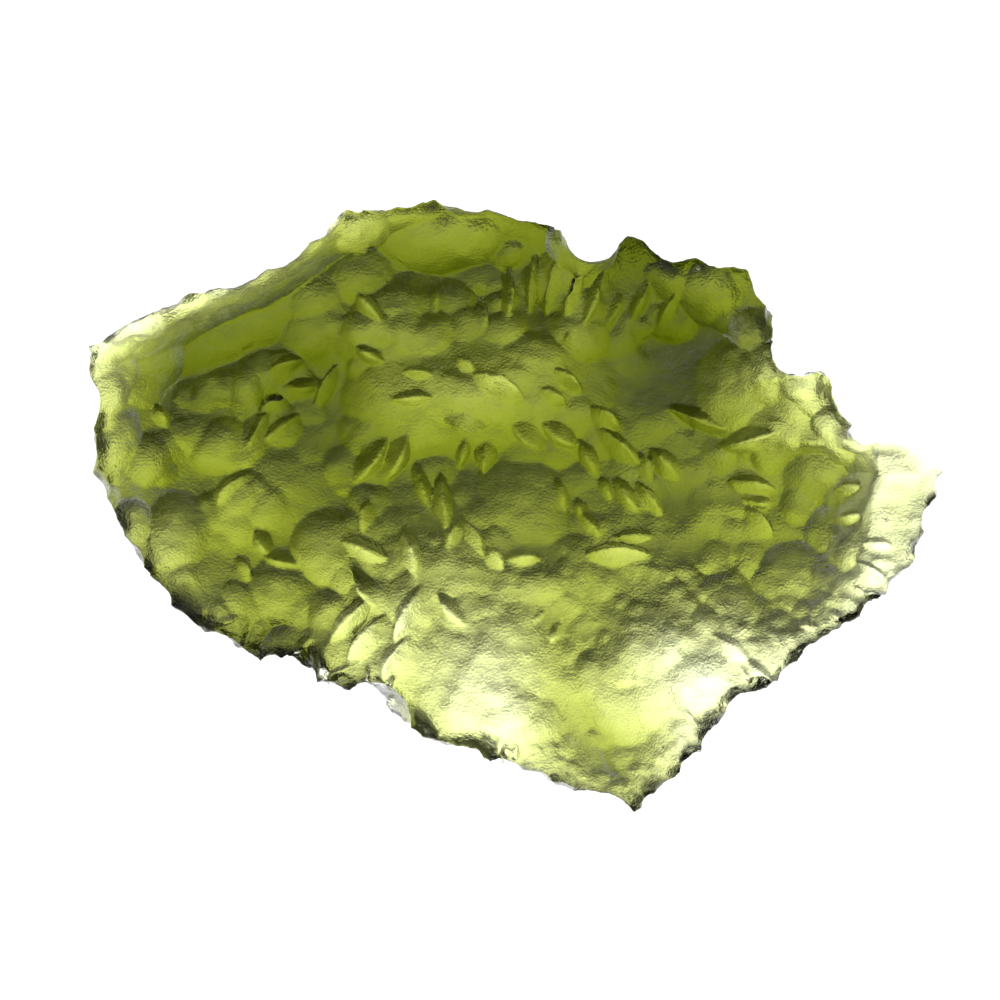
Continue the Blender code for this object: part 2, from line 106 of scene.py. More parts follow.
# x, y, half length, half width, turn in degrees, rise of the upper face, rise of the underside
FORMS = [
    (-2.8, -3.4, 4.6, 3.6, 0, -2.1, 0.1),
    (-1.4, -6.9, 2.8, 2.6, -10, -1.1, 0.3),
    (1.0, -8.0, 3.0, 2.0, 0, -0.5, 0.1),
    (4.6, -4.6, 5.8, 3.6, 10, -1.4, 0.1),
    (5.4, -6.7, 3.8, 2.6, 22, -1.7, 0.2),
    (5.6, 6.0, 3.0, 1.8, 0, 0.9, 0.0),
    (-6.6, 8.4, 2.4, 1.8, 20, 0.8, 0.0),
    (-14.6, 2.6, 2.0, 2.6, 0, 0.9, 0.0),
    (5.5, -1.2, 5.6, 3.4, 10, -0.9, 0.0),
    (-2.0, 4.4, 4.6, 2.4, 0, -1.6, 0.0),
    (-10.6, 1.0, 3.0, 2.2, 10, -0.7, 0.0),
    (11.0, 2.4, 2.2, 2.0, 0, -0.8, 0.0),
    (-7.6, 5.0, 2.6, 2.4, 0, 1.0, 0.0),
    (-11.8, 5.4, 3.6, 1.0, 36, 0.6, 0.0),
    (15.2, 0.8, 2.6, 3.0, 0, -1.2, 0.9),
    (12.4, 4.0, 1.2, 1.2, 0, 0.8, 0.0),
    (4.2, 9.2, 1.3, 1.5, 0, 0.9, 0.0),
    (-1.5, 9.2, 8.0, 1.6, 0, 0.9, 0.0),
    (7.0, 7.4, 3.0, 1.8, 0, 1.4, 0.0),
    (-2.5, 9.6, 3.5, 1.4, 5, 0.8, 0.0),
    (-9.2, 7.7, 4.6, 1.3, 27, 2.3, 0.0),
    (-13.4, 6.0, 2.8, 1.5, 33, 1.1, 0.0),
    (-1.6, 2.4, 2.6, 1.4, 0, 0.6, 0.0),
    (3.0, -8.4, 2.4, 1.4, 0, 0.6, 0.0),
    (6.6, -7.4, 2.6, 1.6, 20, 0.7, 0.0),
    (-9.3, -5.4, 2.4, 1.2, -10, 1.2, 0.0),
    (-2.4, -8.8, 3.0, 0.9, -20, 1.0, 0.0),
    (11.8, 2.2, 2.0, 2.2, 0, 1.3, 0.0),
    (14.6, -2.6, 2.2, 1.4, 35, -0.4, 0.0),
    (-6.0, -1.4, 6.0, 2.4, -20, -0.6, 0.0),
    (-12.4, 0.9, 1.8, 1.4, 30, 0.9, 0.0),
    (-4.6, 8.2, 1.5, 1.0, 0, -1.2, 0.0),
    (1.1, 8.2, 0.8, 1.2, 0, 1.0, 0.0),
    (2.7, 9.6, 0.9, 0.9, 0, -1.3, 0.0),
]


def chipping_at(point):
    """How far a point of the edge may be chipped out of line."""
    return CHIPPING if point.y < LOWER_EDGE or point.x > RIGHT_END else WORN_CHIPPING


def edge_points():
    """The outline in short steps, each point chipped a little out of line."""
    points = []
    for index, corner in enumerate(OUTLINE):
        start, end = Vector(corner), Vector(OUTLINE[(index + 1) % len(OUTLINE)])
        steps = max(1, round((end - start).length / OUTLINE_STEP))
        points += [start.lerp(end, step / steps) for step in range(steps)]
    return [point + chipping_at(point) * Vector((chip.uniform(-1, 1), chip.uniform(-1, 1)))
            for point in points]


def forms_at(place):
    """How far the forms together raise the upper face and the underside at a place."""
    above = below = 0.0
    for x, y, half_length, half_width, turn, top, under in FORMS:
        angle = math.radians(turn)
        off = place - Vector((x, y))
        along = (off.x * math.cos(angle) + off.y * math.sin(angle)) / half_length
        aside = (off.y * math.cos(angle) - off.x * math.sin(angle)) / half_width
        strength = max(0.0, 1.0 - (along * along + aside * aside) / FORM_REACH ** 2) ** 2
        above += strength * top
        below += strength * under
    return above, below


def along_points(points, value):
    """Read a value along a list of (position, value) points."""
    for (start, low), (end, high) in zip(points, points[1:]):
        if value <= end:
            return low + (high - low) * (value - start) / (end - start)
    return points[-1][1]


def height_at(place, share, upper):
    """Height of a face at a place that lies a given share of the way out to the rim."""
    toward = (place - MIDDLE).normalized()
    rise = (RISE_LEFT * max(0.0, -toward.x) ** 2 + RISE_RIGHT * max(0.0, toward.x) ** 2
            + RISE_BOTTOM * max(0.0, -toward.y) ** 2 + RISE_TOP * max(0.0, toward.y) ** 2)
    above, below = forms_at(place)
    underside = rise * share ** RISE_POWER + below
    if not upper:
        return underside
    inset = (place - MIDDLE).length * (1.0 / share - 1.0)
    wall = along_points(RIM_WALL, math.degrees(math.atan2(toward.y, toward.x)) % 360.0)
    section = wall + (FULL_THICKNESS - wall) * along_points(SHOULDER, inset)
    return underside + max(min(THIN_WINDOW, section), section + above - below)


def set_ring_height(share, upper):
    """Bring the selected ring of points to the height of its face."""
    mesh = bmesh.from_edit_mesh(stone.data)
    for vertex in mesh.verts:
        if vertex.select:
            vertex.co.z = height_at(vertex.co.xy, share, upper)
    bmesh.update_edit_mesh(stone.data)


def draw_in_face(upper):
    """From the selected rim, draw ring after ring in to the middle and close the face there."""
    shares = [math.sin(0.5 * math.pi * (RINGS - ring) / RINGS) for ring in range(RINGS)]
    if upper:
        bpy.ops.mesh.extrude_edges_move()
        set_ring_height(1.0, upper)
    for outer, inner in zip(shares, shares[1:]):
        bpy.ops.mesh.extrude_edges_move()
        shrink = inner / outer
        bpy.ops.transform.resize(value=(shrink, shrink, 1.0), center_override=(MIDDLE.x, MIDDLE.y, 0.0))
        set_ring_height(inner, upper)
    bpy.ops.mesh.edge_face_add()


def apply_modifier(kind, **settings):
    """Give the stone a modifier and apply it at once."""
    bpy.context.view_layer.objects.active = stone
    modifier = stone.modifiers.new(kind.lower(), kind)
    for name, value in settings.items():
        setattr(modifier, name, value)
    bpy.ops.object.modifier_apply(modifier=modifier.name)


edge = edge_points()
bpy.ops.mesh.primitive_circle_add(vertices=len(edge))
stone = bpy.context.object
stone.name = "moldavite_stone"
for vertex, point in zip(stone.data.vertices, edge):
    vertex.co = (point.x, point.y, height_at(point, 1.0, False))
bpy.ops.object.mode_set(mode='EDIT')
bpy.ops.mesh.select_all(action='SELECT')
draw_in_face(True)
bpy.ops.mesh.select_all(action='DESELECT')
bpy.ops.object.mode_set(mode='OBJECT')
for rim_edge in stone.data.edges:
    rim_edge.select = max(rim_edge.vertices) < len(edge)
bpy.ops.object.mode_set(mode='EDIT')
bpy.ops.mesh.select_mode(type='EDGE')
draw_in_face(False)
bpy.ops.mesh.select_all(action='SELECT')
bpy.ops.mesh.normals_make_consistent(inside=False)
bpy.ops.object.mode_set(mode='OBJECT')
BODY_GRAIN = 0.2
apply_modifier('REMESH', mode='VOXEL', voxel_size=BODY_GRAIN)

# The scalloped skin
# Acids in the soil ate the glass into round hollows that overlap and meet in sharp crests. They are
# close and deep on the raised left, top and right, and faint in the calm middle of the cup. The edge
# at the bottom and at the right end has crumbled.

# The hollows that stand out, each in its own place. They are cut later, together with the pits.
# x, y, half length, half width, turn in degrees, depth as a share of the half width
HOLLOWS = [
    (-7.7, -1.5, 1.45, 1.3, -35, 0.5), (-9.3, -3.4, 1.1, 1.0, 0, 0.35), (-10.9, -3.3, 0.6, 0.6, 0, 0.4),
    (-7.5, -3.6, 0.6, 0.6, 0, 0.35), (-8.0, 2.5, 1.0, 0.7, 70, 0.35), (-11.0, 0.5, 1.0, 0.8, 40, 0.55),
    (-11.7, 2.3, 1.1, 0.9, 30, 0.5), (-13.1, -0.6, 1.3, 1.1, 60, 0.4), (-14.9, -0.3, 0.9, 0.8, 60, 0.45),
    (-14.2, 1.8, 1.0, 0.8, 50, 0.45), (-15.6, 2.6, 1.4, 1.0, 60, 0.35), (-15.7, 4.4, 1.1, 0.9, 70, 0.35),
    (-12.0, 4.4, 0.9, 0.6, 60, 0.55), (-10.4, 4.6, 0.9, 0.6, 75, 0.55), (-10.2, 2.7, 1.1, 0.6, 65, 0.6),
    (-9.0, 2.9, 0.8, 0.6, 30, 0.55), (-8.3, 4.6, 0.9, 0.5, 10, 0.55), (-9.0, 5.5, 0.8, 0.6, 20, 0.5),
    (-7.9, 6.6, 1.2, 0.9, 20, 0.4), (-5.4, 4.3, 1.7, 1.5, 0, 0.3), (-2.9, 10.2, 2.3, 1.5, 5, 0.5),
    (-6.2, 8.9, 1.3, 1.1, 20, 0.5), (-7.6, 8.0, 1.2, 1.0, 30, 0.45), (-5.9, 6.8, 1.0, 0.8, 10, 0.4),
    (-3.2, 6.8, 1.0, 0.9, 60, 0.45), (2.3, 6.6, 0.9, 0.85, 0, 0.35), (0.6, 6.2, 1.2, 0.9, 0, 0.3),
    (4.8, 6.9, 0.5, 0.4, 20, 0.6), (7.9, 5.0, 1.7, 1.4, 60, 0.35), (7.4, 8.1, 1.2, 1.1, 0, 0.4),
    (10.4, -2.4, 1.4, 1.2, 20, 0.35), (7.6, 0.1, 1.1, 0.9, 70, 0.3), (8.8, -3.6, 1.0, 0.8, -40, 0.35),
    (11.1, 4.7, 0.7, 0.6, 0, 0.5), (12.2, 3.5, 0.7, 0.6, 60, 0.5), (5.2, 3.6, 1.3, 1.0, 0, 0.25),
    (0.6, 0.2, 1.9, 1.7, 90, 0.3), (-1.0, -6.4, 2.0, 1.5, 70, 0.2), (7.0, -6.9, 2.0, 1.2, 20, 0.25),
    (4.0, -8.2, 1.6, 1.0, -50, 0.3), (11.6, 1.2, 1.3, 0.9, 20, 0.3), (12.9, -1.6, 1.0, 0.8, 30, 0.4),
    (-10.6, 6.6, 2.6, 1.0, 30, 0.3), (-13.8, 5.2, 1.8, 1.0, 35, 0.3),
]
# Fields of smaller hollows: how many, the field's x and y range, half width range, depth share
FIELDS = [
    (110, (-17.0, -5.5), (-6.0, 8.0), (0.35, 0.9), 0.5), (80, (-10.0, 10.0), (6.4, 12.0), (0.4, 0.9), 0.55),
    (80, (7.5, 13.8), (-5.0, 7.0), (0.35, 0.8), 0.5), (130, (1.0, 13.0), (-11.0, -2.0), (0.2, 0.55), 0.35),
    (80, (-6.0, 3.0), (-9.5, -1.0), (0.3, 0.8), 0.3), (60, (-6.0, 9.0), (-1.0, 6.8), (0.3, 0.9), 0.3),
]
FIELD_STRETCH = (1.0, 1.5)
ANY_TURN = (0.0, 180.0)
# The underside has broad shallow hollows all over. The widths of hollows, bites and crumbs are half
# widths, and the sizes of chips are radii.
UNDER_HOLLOWS = 110
UNDER_X, UNDER_Y = (-17.0, 17.0), (-12.0, 12.0)
UNDER_WIDTHS = (0.6, 1.8)
UNDER_STRETCH = 1.3
UNDER_SHARE = 0.14
# Bites are round hollows in the wall of the rim, at most as wide as the wall is high.
BITES_PER_POINT = 2
BITE_WIDTHS = (0.4, 1.1)
BITE_IN_WALL = 0.5
SMALLEST_BITE = 0.3
WALL_SHARE = 0.35
# Where the edge has crumbled, by the x and y of the direction there from the middle.
LOWER_LEAN = -0.35
CRUMB_LEAN, TIP_LEAN = 0.9, 0.985
# Crumbs are lost just inside the crumbled edge.
CRUMBS_PER_POINT = 3
CRUMB_INSET = (0.1, 1.4)
CRUMB_WIDTHS = (0.14, 0.32)
CRUMB_STRETCH = (1.0, 1.8)
CRUMB_SHARE = 0.5
# Chips are upright flakes struck off the crumbled edge, a few times higher than wide.
CHIP_CHANCE = 0.6
CHIP_SIZES = (0.2, 0.5)
CHIP_OUT = (0.5, 0.8)
CHIP_HEIGHT = 4.0
# A hollow is at most this share of the glass under it deep. It is left out where that makes it too
# faint, and where the skin is too steep, by the upward part of its normal.
DEEPEST_SHARE = 0.36
FAINTEST_SHARE = 0.1
STEEPEST = 0.6
# Rays that look for the skin start well clear of it, and go down from above or up from below.
CLEAR_OFF = 40.0
CLEAR_OF_EDGE = 3.0
FROM_ABOVE, FROM_BELOW = -1.0, 1.0
FEET_SPREAD = 0.8
JUST_UNDER_SKIN = 0.01


def seat_on_skin(skin, x, y, half_length, half_width, turn, side):
    """The place where a cut is laid: its middle, its three axes and the depth of glass under it."""
    angle = math.radians(turn)
    along = Vector((math.cos(angle), math.sin(angle), 0.0))
    aside = Vector((-along.y, along.x, 0.0))
    spots = (along * half_length, along * -half_length, aside * half_width, aside * -half_width)
    start, ray = Vector((x, y, -CLEAR_OFF * side)), Vector((0.0, 0.0, side))
    feet = [skin.ray_cast(start + FEET_SPREAD * spot, ray)[0] for spot in spots]
    if None in feet:
        return None
    along = (feet[0] - feet[1]).normalized()
    normal = along.cross(feet[2] - feet[3]).normalized() * -side
    middle = sum(feet, Vector()) / len(feet)
    under = skin.ray_cast(start, ray)[0] - normal * JUST_UNDER_SKIN
    glass = skin.ray_cast(under, -normal)[3] or 0.0
    return middle, along, normal.cross(along), normal, glass


def copy_cutter(pattern, group, place):
    """Add a copy of a cutter to its group, with its own mesh brought to its place."""
    cutter = pattern.copy()
    cutter.data = pattern.data.copy()
    cutter.data.transform(place)
    group.objects.link(cutter)


def lay_cutter(pattern, group, seat, size, raised=0.0):
    """Lay a copy of a cutter in its seat, raised off the skin by the given height."""
    middle, along, aside, normal = seat[:4]
    turned = Matrix((along, aside, normal)).transposed().to_4x4()
    place = Matrix.Translation(middle + normal * raised)
    copy_cutter(pattern, group, place @ turned @ Matrix.Diagonal((*size, 1.0)))


def ball_radius(share):
    """Radius of the ball that leaves a dish of half width 1 and the given depth."""
    return (1.0 + share * share) / (2.0 * share)


def lay_hollow(pattern, skin, group, hollow, side):
    """Lay the stretched ball that cuts a hollow, no deeper than the glass there allows."""
    x, y, half_length, half_width, turn, share = hollow
    seat = seat_on_skin(skin, x, y, half_length, half_width, turn, side)
    if seat is None or abs(seat[3].z) < STEEPEST:
        return
    share = min(share, DEEPEST_SHARE * seat[4] / half_width)
    if share < FAINTEST_SHARE:
        return
    ball = ball_radius(share)
    size = (half_length * ball, half_width * ball, half_width * ball)
    lay_cutter(pattern, group, seat, size, half_width * (ball - share))


def wall_at(point):
    """Lowest and highest height of the wall of the rim at a point of the edge."""
    return height_at(point, 1.0, False), height_at(point, 1.0, True)


def lay_bite(pattern, skin, group, point):
    """Lay the ball that bites into the wall of the rim, somewhere up its height."""
    low, high = wall_at(point)
    out = (point - MIDDLE).normalized().to_3d()
    start = point.to_3d() + CLEAR_OF_EDGE * out + Vector((0.0, 0.0, draw.uniform(low, high)))
    hit, normal = skin.ray_cast(start, -out)[:2]
    width = min(draw.uniform(*BITE_WIDTHS), BITE_IN_WALL * (high - low))
    if hit is None or width < SMALLEST_BITE:
        return
    ball = ball_radius(WALL_SHARE)
    spot = hit + normal * width * (ball - WALL_SHARE)
    copy_cutter(pattern, group, Matrix.Translation(spot) @ Matrix.Scale(width * ball, 4))


def is_crumbled(point, right_lean):
    """Whether the edge has crumbled: the lower edge has, and the right end but for its tip."""
    toward = (point - MIDDLE).normalized()
    return toward.y < LOWER_LEAN or right_lean < toward.x < TIP_LEAN


def crumble_edge(pattern, skin, group, point):
    """Lay the cuts of a few lost crumbs inside a point of the edge, and often of a chip on it."""
    toward = (point - MIDDLE).normalized()
    for number in range(CRUMBS_PER_POINT):
        place = point - toward * draw.uniform(*CRUMB_INSET)
        width = draw.uniform(*CRUMB_WIDTHS)
        length = width * draw.uniform(*CRUMB_STRETCH)
        crumb = (place.x, place.y, length, width, draw.uniform(*ANY_TURN), CRUMB_SHARE)
        lay_hollow(pattern, skin, group, crumb, FROM_ABOVE)
    if draw.random() < CHIP_CHANCE:
        size = draw.uniform(*CHIP_SIZES)
        out = point + toward * size * draw.uniform(*CHIP_OUT)
        spot = Vector((out.x, out.y, draw.uniform(*wall_at(point))))
        upright = Matrix.Diagonal((size, size, CHIP_HEIGHT * size, 1.0))
        copy_cutter(pattern, group, Matrix.Translation(spot) @ upright)


def start_cutting(name):
    """The skin as it is now, on which cuts find their seats, and an empty group for the cutters."""
    group = bpy.data.collections.new(name)
    bpy.context.scene.collection.children.link(group)
    return BVHTree.FromObject(stone, bpy.context.evaluated_depsgraph_get()), group


def cut_away(group):
    """Cut every cutter of a group out of the stone, and clear the group away."""
    apply_modifier('BOOLEAN', operation='DIFFERENCE', operand_type='COLLECTION', collection=group,
                   solver='MANIFOLD')
    for cutter in list(group.objects):
        bpy.data.objects.remove(cutter)
    bpy.data.collections.remove(group)


bpy.ops.mesh.primitive_ico_sphere_add(subdivisions=4, radius=1.0)
pattern = bpy.context.object
skin, hollow_cutters = start_cutting("hollow_cutters")
draw = random.Random(5)
for count, x_range, y_range, width_range, share in FIELDS:
    for number in range(count):
        width = draw.uniform(*width_range)
        x, y = draw.uniform(*x_range), draw.uniform(*y_range)
        length = width * draw.uniform(*FIELD_STRETCH)
        hollow = (x, y, length, width, draw.uniform(*ANY_TURN), share)
        lay_hollow(pattern, skin, hollow_cutters, hollow, FROM_ABOVE)
for number in range(UNDER_HOLLOWS):
    width = draw.uniform(*UNDER_WIDTHS)
    x, y = draw.uniform(*UNDER_X), draw.uniform(*UNDER_Y)
    hollow = (x, y, width * UNDER_STRETCH, width, draw.uniform(*ANY_TURN), UNDER_SHARE)
    lay_hollow(pattern, skin, hollow_cutters, hollow, FROM_BELOW)
for point in edge * BITES_PER_POINT:
    lay_bite(pattern, skin, hollow_cutters, point)
for point in edge:
    if is_crumbled(point, CRUMB_LEAN):
        crumble_edge(pattern, skin, hollow_cutters, point)
cut_away(hollow_cutters)

# The pointed pits
# The cup is strewn with pits like little canoes, sharp at both ends with a keel along the bottom,
# etched along strained streaks in the glass. Most of them point at the middle.
# x, y, length, width, turn in degrees
PITS = [
    (-0.7, 4.8, 2.2, 0.9, -28), (-2.0, 5.6, 1.1, 0.5, -38), (1.4, 4.4, 1.2, 0.6, -35),
    (2.0, 5.0, 1.4, 0.6, -39), (-2.0, 3.4, 1.6, 0.8, -10), (0.5, 2.9, 1.6, 0.8, -34),
    (1.7, 2.9, 1.7, 0.8, -34), (3.4, 3.5, 1.3, 0.8, -38), (4.0, 2.4, 2.3, 0.8, -41),
    (5.0, 1.6, 1.3, 0.6, -70), (5.8, 1.7, 1.6, 0.9, -45), (2.8, 2.0, 1.7, 0.7, -62),
    (3.5, 0.8, 1.0, 0.5, -65), (1.7, 0.5, 1.8, 0.6, -74), (2.5, 0.0, 1.0, 0.5, -70),
    (2.9, -0.6, 1.2, 0.5, -50), (4.3, 0.6, 1.5, 0.7, -54), (5.2, 0.4, 1.6, 0.6, -52),
    (4.6, -1.1, 1.5, 0.5, 3), (4.0, -1.8, 2.5, 0.9, 0), (0.3, -2.0, 1.5, 0.5, 3),
    (-0.9, -2.0, 1.1, 0.7, -55), (-1.8, -1.1, 1.8, 0.6, -53), (-2.5, -1.1, 1.3, 0.6, 62),
    (-2.9, 0.3, 2.5, 0.7, -85), (-3.7, 0.9, 2.1, 0.6, -75), (-4.2, -1.7, 2.1, 0.8, -78),
    (-1.2, 2.1, 1.3, 0.8, 85), (-2.1, 2.2, 1.4, 0.5, 75), (-4.7, 2.1, 2.2, 0.9, 65),
    (-5.7, 1.9, 2.2, 0.9, 53), (-5.9, -0.3, 1.3, 0.6, 78), (-6.0, -1.6, 2.1, 0.8, -22),
    (-6.0, -3.0, 1.8, 0.7, -63), (-6.5, -4.3, 2.5, 0.9, 48), (-5.9, -5.2, 2.5, 0.9, 54),
    (-4.3, -4.2, 2.5, 0.9, 64), (-4.8, -5.9, 2.1, 0.9, 58), (-2.6, -4.0, 1.7, 0.6, -50),
    (0.8, -4.3, 1.0, 0.4, 45), (1.5, -4.9, 1.0, 0.6, 60), (-9.1, -2.0, 1.5, 0.6, -15),
    (-10.6, -2.3, 1.0, 0.5, -65), (-9.9, -1.2, 1.2, 0.7, -60), (-7.3, 4.7, 2.0, 0.6, 60),
    (-10.1, 2.9, 2.0, 0.7, 60), (-9.2, 3.1, 1.9, 0.6, 35), (-9.4, 3.9, 1.2, 0.6, 20),
    (-8.3, 4.7, 1.4, 0.7, 0), (-8.9, 5.5, 1.4, 0.7, 15), (-11.0, 0.7, 1.9, 0.8, 50),
    (-13.7, 3.6, 1.0, 0.6, -60), (-4.2, 4.3, 1.9, 0.7, 6), (-5.7, 7.7, 1.7, 0.8, -45),
    (-5.7, 6.0, 1.4, 0.7, -30), (-3.9, 5.3, 1.2, 0.5, 0), (7.0, 3.5, 2.8, 0.7, -20),
    (9.1, 2.7, 2.3, 0.9, 15), (9.2, 0.9, 1.9, 0.7, -12), (9.4, 0.3, 1.3, 0.5, -10),
    (9.4, -0.5, 1.5, 0.7, -50), (12.9, 0.8, 1.5, 0.5, 12), (13.0, -0.3, 1.6, 0.5, 10),
    (14.0, -2.4, 1.4, 0.4, -30), (8.5, -5.5, 1.8, 0.7, -35), (9.6, -6.4, 1.4, 0.6, -40),
    (1.9, 6.5, 0.7, 0.5, 80), (-1.4, 7.4, 1.6, 0.5, 92), (-0.3, 8.3, 2.6, 0.5, 88),
    (0.6, 8.6, 2.4, 0.5, 84), (1.4, 8.4, 2.6, 0.5, 80), (2.2, 8.2, 2.4, 0.5, 74),
    (2.9, 8.0, 2.6, 0.5, 70), (3.7, 7.6, 1.6, 0.4, 66), (4.7, 7.9, 2.0, 0.5, 66),
    (-3.2, 8.0, 1.5, 0.5, 86), (5.8, 7.6, 1.8, 0.5, 60), (14.2, -1.4, 1.2, 0.5, -5),
]
# Depth as a share of the width, and at most as a share of the glass under the pit.
PIT_DEPTH = 1.2
DEEPEST_PIT = 0.45
# Each pit is cut this much larger, because the fine skin draws its rim and its sharp ends in.
PIT_GROWTH = 1.15
# Nicks are small pits across the crumbled edge, which point roughly at the middle.
NICK_LEAN = 0.8
NICK_CHANCE = 0.4
NICK_INSET = (0.3, 1.0)
NICK_TWIST = (-30.0, 30.0)
NICK_LENGTHS = (0.7, 1.5)
NICK_WIDTHS = (0.25, 0.45)


def make_pit_cutter():
    """A canoe of half length 1, half width 1 and depth 1, lying along X with its keel down."""
    bpy.ops.mesh.primitive_uv_sphere_add(segments=4, ring_count=14, radius=1.0, rotation=(0, math.pi / 2, 0))
    bpy.ops.object.transform_apply(rotation=True)
    cutter = bpy.context.object
    for vertex in cutter.data.vertices:
        taper = math.sqrt(max(0.0, 1.0 - vertex.co.x ** 2))
        vertex.co.y *= taper
        vertex.co.z *= taper
    return cutter


def lay_pit(pattern, skin, group, pit):
    """Lay the canoe that cuts a pit into the upper face, no deeper than the glass there allows."""
    x, y, length, width, turn = pit
    seat = seat_on_skin(skin, x, y, length / 2, width / 2, turn, FROM_ABOVE)
    if seat:
        depth = min(width * PIT_DEPTH, DEEPEST_PIT * seat[4])
        lay_cutter(pattern, group, seat, (PIT_GROWTH * length / 2, PIT_GROWTH * width / 2, depth))


skin, pit_cutters = start_cutting("pit_cutters")
for hollow in HOLLOWS:
    lay_hollow(pattern, skin, pit_cutters, hollow, FROM_ABOVE)
bpy.data.objects.remove(pattern)
pattern = make_pit_cutter()
for pit in PITS:
    lay_pit(pattern, skin, pit_cutters, pit)
for point in edge:
    if is_crumbled(point, NICK_LEAN) and draw.random() < NICK_CHANCE:
        toward = (point - MIDDLE).normalized()
        place = point - toward * draw.uniform(*NICK_INSET)
        turn = math.degrees(math.atan2(toward.y, toward.x)) + draw.uniform(*NICK_TWIST)
        nick = (place.x, place.y, draw.uniform(*NICK_LENGTHS), draw.uniform(*NICK_WIDTHS), turn)
        lay_pit(pattern, skin, pit_cutters, nick)
bpy.data.objects.remove(pattern)
cut_away(pit_cutters)

# The fine skin
# Between the pits the glass is etched into small shallow cells with a finer grain over them, and the
# sharpest crests are worn a little. Crumbs that the cuts have set free fall away.
SKIN_GRAIN = 0.08
TRIANGLES = 190000


def raise_skin(name, kind, size, strength, level, **settings):
    """Raise and sink the skin by a small pattern, whose grey at the given level stays where it is."""
    relief = bpy.data.textures.new(name, kind)
    relief.noise_scale = size
    for setting, value in settings.items():
        setattr(relief, setting, value)
    apply_modifier('DISPLACE', texture=relief, texture_coords='LOCAL', strength=strength, mid_level=level)


apply_modifier('REMESH', mode='VOXEL', voxel_size=SKIN_GRAIN)
stone.select_set(True)
bpy.ops.mesh.separate(type='LOOSE')
pieces = sorted(bpy.context.selected_objects, key=lambda piece: len(piece.data.vertices))
stone = pieces.pop()
for crumb in pieces:
    bpy.data.objects.remove(crumb)
raise_skin("small_cells", 'VORONOI', size=0.8, strength=0.12, level=0.3, distance_metric='DISTANCE_SQUARED')
raise_skin("grain", 'CLOUDS', size=0.5, strength=0.05, level=0.5, noise_depth=2)
apply_modifier('SMOOTH', factor=0.5, iterations=1)
apply_modifier('DECIMATE', ratio=TRIANGLES / (2 * len(stone.data.polygons)))

# The foot
# The shard rests on one small flat spot, worn flat under its thickest part. The finished stone is
# then brought from millimetres to metres, into the place that the frame keeps for it.
FOOT_CUT = 0.3
lowest = min(vertex.co.z for vertex in stone.data.vertices) + FOOT_CUT
bpy.ops.object.mode_set(mode='EDIT')
bpy.ops.mesh.select_all(action='SELECT')
bpy.ops.mesh.bisect(plane_co=(0, 0, lowest), plane_no=(0, 0, 1), use_fill=True, clear_inner=True)
bpy.ops.mesh.select_all(action='SELECT')
bpy.ops.mesh.quads_convert_to_tris()
bpy.ops.object.mode_set(mode='OBJECT')
box_low, box_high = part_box("moldavite")
low = Vector([min(vertex.co[axis] for vertex in stone.data.vertices) for axis in range(3)])
high = Vector([max(vertex.co[axis] for vertex in stone.data.vertices) for axis in range(3)])
fit = [(box_high[axis] - box_low[axis]) / (high[axis] - low[axis]) for axis in range(3)]
stone.data.transform(Matrix.Translation(box_low) @ Matrix.Diagonal((*fit, 1.0)) @ Matrix.Translation(-low))
stone.data.shade_smooth()

# The glass
# Moldavite is a clear bottle-green glass. Its colour comes from the depth of glass that light
# crosses, pale at the thin fringes and nearly black where the stone is thick. Soil acid has left the
# underside satin and the upper face glossy, with a grain too fine for the mesh.
CLEAR = (0.97, 0.99, 0.93, 1.0)
BENDING = 1.49
# How much red, green and blue light a millimetre of the glass absorbs.
ABSORBED = (0.426, 0.390, 0.915)
MILLIMETRES_IN_METRE = 1000.0
SATIN, GLOSSY = 0.16, 0.04
# The skin turns from satin to glossy while its normal goes from this far down to this far up.
LEVEL_SKIN = 0.2
# Grains to the metre, and their height in metres.
COARSE_GRAIN = (3500.0, 0.000015)
FINE_GRAIN = (9000.0, 0.00006)
glass = bpy.data.materials.new("moldavite_glass")
glass.use_nodes = True
nodes, links = glass.node_tree.nodes, glass.node_tree.links
shader = nodes["Principled BSDF"]
shader.inputs["Base Color"].default_value = CLEAR
shader.inputs["Transmission Weight"].default_value = 1.0
shader.inputs["IOR"].default_value = BENDING
coordinates = nodes.new("ShaderNodeTexCoord")
facing = nodes.new("ShaderNodeSeparateXYZ")
links.new(coordinates.outputs["Normal"], facing.inputs["Vector"])
etched = nodes.new("ShaderNodeMapRange")
etched.inputs["From Min"].default_value = -LEVEL_SKIN
etched.inputs["From Max"].default_value = LEVEL_SKIN
etched.inputs["To Min"].default_value = SATIN
etched.inputs["To Max"].default_value = GLOSSY
links.new(facing.outputs["Z"], etched.inputs["Value"])
links.new(etched.outputs["Result"], shader.inputs["Roughness"])


def grain(per_metre, height, below=None):
    """A bump of fine grain in the skin, laid over the bump below it."""
    cloud = nodes.new("ShaderNodeTexNoise")
    cloud.inputs["Scale"].default_value = per_metre
    cloud.inputs["Detail"].default_value = 3.0
    links.new(coordinates.outputs["Object"], cloud.inputs["Vector"])
    bump = nodes.new("ShaderNodeBump")
    bump.inputs["Distance"].default_value = height
    links.new(cloud.outputs["Fac"], bump.inputs["Height"])
    if below:
        links.new(below.outputs["Normal"], bump.inputs["Normal"])
    return bump


